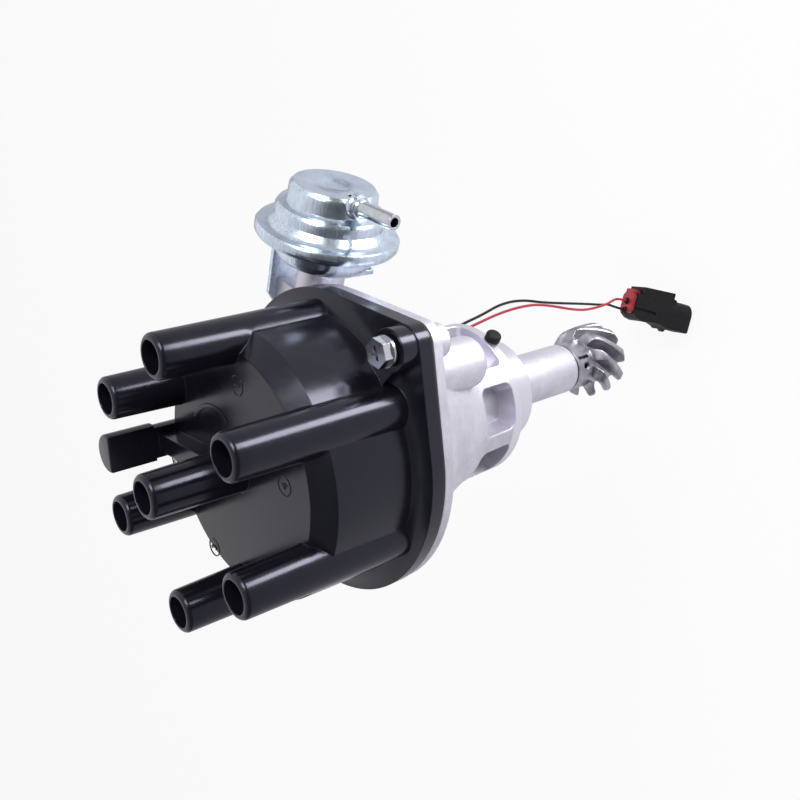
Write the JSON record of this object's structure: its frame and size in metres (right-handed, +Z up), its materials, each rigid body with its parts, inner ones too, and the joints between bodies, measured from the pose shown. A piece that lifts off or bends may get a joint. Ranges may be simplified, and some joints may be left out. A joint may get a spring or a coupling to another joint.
{
  "type": "ignition distributor",
  "caption": "Engine ignition distributor with towered cap, flared cast housing, vacuum advance unit, splined drive gear and a two-wire pick-up lead.",
  "frame": {"origin": "on the shaft's axis at the face of the mounting disc that seats on the engine", "axes": "+Z up along the shaft towards the cap's towers; +X through the first cap tower; the vacuum unit points 18 degrees from +X towards -Y"},
  "size_m": [0.1399, 0.1174, 0.3471],
  "materials": {
    "die_cast": "satin",
    "cap_moulding": "gloss",
    "rotor_moulding": "gloss",
    "zinc_steel": "bright zinc plate",
    "turned_steel": "turned",
    "sheet_steel": "pressed",
    "spring_steel": "drawn wire",
    "cast_gear": "as cast",
    "sintered_bronze": "sintered",
    "brass": "bright",
    "rubber": "matte",
    "gasket_sheet": "matte",
    "carbon": "matte",
    "felt": "felt",
    "nylon": "matte",
    "ferrite": "ground",
    "enamel_wire": "enamelled",
    "wire_black": "satin",
    "wire_red": "satin",
    "connector_black": "matte",
    "lock_red": "satin"
  },
  "bodies": {
    "fixed_body": {"housing": "die_cast", "lower_bush": "sintered_bronze", "upper_bush": "sintered_bronze", "shaft_seal": "rubber", "cap_gasket": "gasket_sheet", "distributor_cap": "cap_moulding", "cap_terminals": "brass", "centre_terminal": "brass", "brush_spring": "spring_steel", "cap_screws": "zinc_steel", "cap_screw_washers": "zinc_steel", "fixed_plate": "sheet_steel", "fixed_plate_screws": "zinc_steel", "glide_buttons": "nylon", "plate_retainer": "spring_steel", "vacuum_can": "zinc_steel", "vacuum_dish": "zinc_steel", "vacuum_nipple": "zinc_steel", "vacuum_bracket": "zinc_steel", "vacuum_bracket_screws": "zinc_steel", "diaphragm": "rubber", "vacuum_spring": "spring_steel", "rim_plug": "rubber", "lead_grommet": "rubber", "lead_wire_black": "wire_black", "lead_wire_red": "wire_red", "connector_body": "connector_black", "connector_lock": "lock_red", "connector_seals": "rubber", "connector_terminals": "brass"},
    "drive_shaft": {"main_shaft": "turned_steel", "drive_gear": "cast_gear", "gear_roll_pin": "spring_steel", "lower_thrust_washer": "turned_steel", "upper_thrust_washer": "turned_steel", "weight_base": "sheet_steel", "weight_clips": "spring_steel", "advance_spring_a": "spring_steel", "advance_spring_b": "spring_steel", "sleeve_clip": "spring_steel"},
    "advance_sleeve_group": {"advance_sleeve": "turned_steel", "reluctor": "sheet_steel", "oil_felt": "felt", "rotor_arm": "rotor_moulding", "rotor_electrode": "brass", "rotor_contact_spring": "spring_steel"},
    "weight_a": {"flyweight_a": "sheet_steel"},
    "weight_b": {"flyweight_b": "sheet_steel"},
    "pickup_group": {"swing_plate": "zinc_steel", "pickup_bracket": "sheet_steel", "pickup_magnet": "ferrite", "pole_piece": "sheet_steel", "pickup_bobbin": "nylon", "pickup_coil": "enamel_wire", "pickup_screws": "zinc_steel"},
    "vacuum_rod": {"pull_rod": "sheet_steel", "diaphragm_plates": "sheet_steel"},
    "brush": {"carbon_brush": "carbon"}
  },
  "joints": [
    {"name": "shaft_spin", "type": "hinge", "parent": "fixed_body", "child": "drive_shaft", "pos_m": [0, 0, 0], "axis": [0, 0, 1], "continuous": true},
    {"name": "centrifugal_advance", "type": "hinge", "parent": "drive_shaft", "child": "advance_sleeve_group", "pos_m": [0, 0, 0.054], "axis": [0, 0, 1], "range_deg": [0, 10.8], "stiffness_Nm_per_rad": 0.05, "springref_deg": -5.73, "deforming": ["advance_spring_a", "advance_spring_b"]},
    {"name": "weight_a_swing", "type": "hinge", "parent": "drive_shaft", "child": "weight_a", "pos_m": [0.019, 0, 0.0315], "axis": [0, 0, -1], "range_deg": [0, 12.05]},
    {"name": "weight_b_swing", "type": "hinge", "parent": "drive_shaft", "child": "weight_b", "pos_m": [-0.019, 0, 0.0315], "axis": [0, 0, -1], "range_deg": [0, 12.05]},
    {"name": "pickup_plate_swing", "type": "hinge", "parent": "fixed_body", "child": "pickup_group", "pos_m": [0, 0, 0.0496], "axis": [0, 0, -1], "range_deg": [0, 10], "stiffness_Nm_per_rad": 0.1, "springref_deg": -5.73},
    {"name": "vacuum_rod_slide", "type": "slide", "parent": "fixed_body", "child": "vacuum_rod", "axis": [0.9511, -0.309, 0], "range_m": [0, 0.00615], "deforming": ["vacuum_spring", "diaphragm"]},
    {"name": "carbon_brush_slide", "type": "slide", "parent": "fixed_body", "child": "brush", "axis": [0, 0, 1], "range_m": [0, 0.0008], "stiffness_N_per_m": 300, "springref_m": -0.001, "deforming": ["brush_spring"]}
  ],
  "couplings": [
    {"joint": "weight_a_swing", "follows": "centrifugal_advance", "ratio": 1.1111},
    {"joint": "weight_b_swing", "follows": "centrifugal_advance", "ratio": 1.1111},
    {"joint": "vacuum_rod_slide", "follows": "pickup_plate_swing", "m_per_rad": 0.0351}
  ]
}
